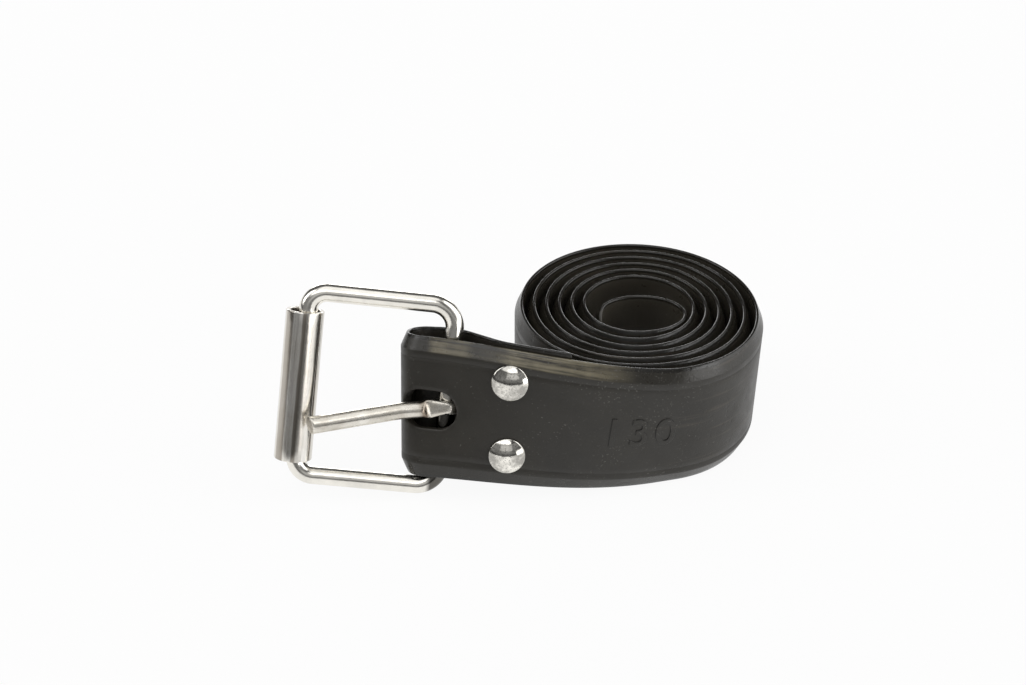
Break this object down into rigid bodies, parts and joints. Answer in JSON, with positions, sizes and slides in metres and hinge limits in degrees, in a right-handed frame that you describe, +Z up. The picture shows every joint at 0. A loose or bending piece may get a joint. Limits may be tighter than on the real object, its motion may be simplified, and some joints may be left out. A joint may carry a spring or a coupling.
{
  "type": "dive weight belt",
  "caption": "Rubber belt strap for diving weights, coiled on its edge, with a wire frame buckle, a roller and a tongue held in a riveted fold.",
  "frame": {"origin": "middle of the belt's footprint, on the surface it stands on", "axes": "+Z up along the coil's axis, +X from the buckle to the coil, the coil's front and the buckle's front face -Y"},
  "size_m": [0.1768, 0.0996, 0.0732],
  "materials": {
    "strap_rubber": "matt, dusty, with a faint olive bloom",
    "buckle_steel": "drawn wire, lightly worn",
    "roller_steel": "rolled sheet, brushed round",
    "rivet_steel": "polished dome",
    "burr_steel": "dull washer"
  },
  "bodies": {
    "strap": {"strap": "strap_rubber", "upper_rivet": "rivet_steel", "upper_burr": "burr_steel", "lower_rivet": "rivet_steel", "lower_burr": "burr_steel"},
    "frame": {"buckle_frame": "buckle_steel"},
    "roller": {"roller": "roller_steel"},
    "tongue": {"tongue": "buckle_steel"}
  },
  "joints": [
    {"name": "frame_swing", "type": "hinge", "parent": "strap", "child": "frame", "pos_m": [-0.02687, -0.03186, 0.03401], "axis": [0.1139, 0.3959, 0.9112], "range_deg": [-60, 0]},
    {"name": "roller_spin", "type": "hinge", "parent": "frame", "child": "roller", "pos_m": [-0.07878, -0.03192, 0.03965], "axis": [0.1139, 0.3959, 0.9112], "continuous": true},
    {"name": "tongue_swing", "type": "hinge", "parent": "strap", "child": "tongue", "pos_m": [-0.02687, -0.03186, 0.03401], "axis": [0.1139, 0.3959, 0.9112], "range_deg": [0, 50]}
  ]
}
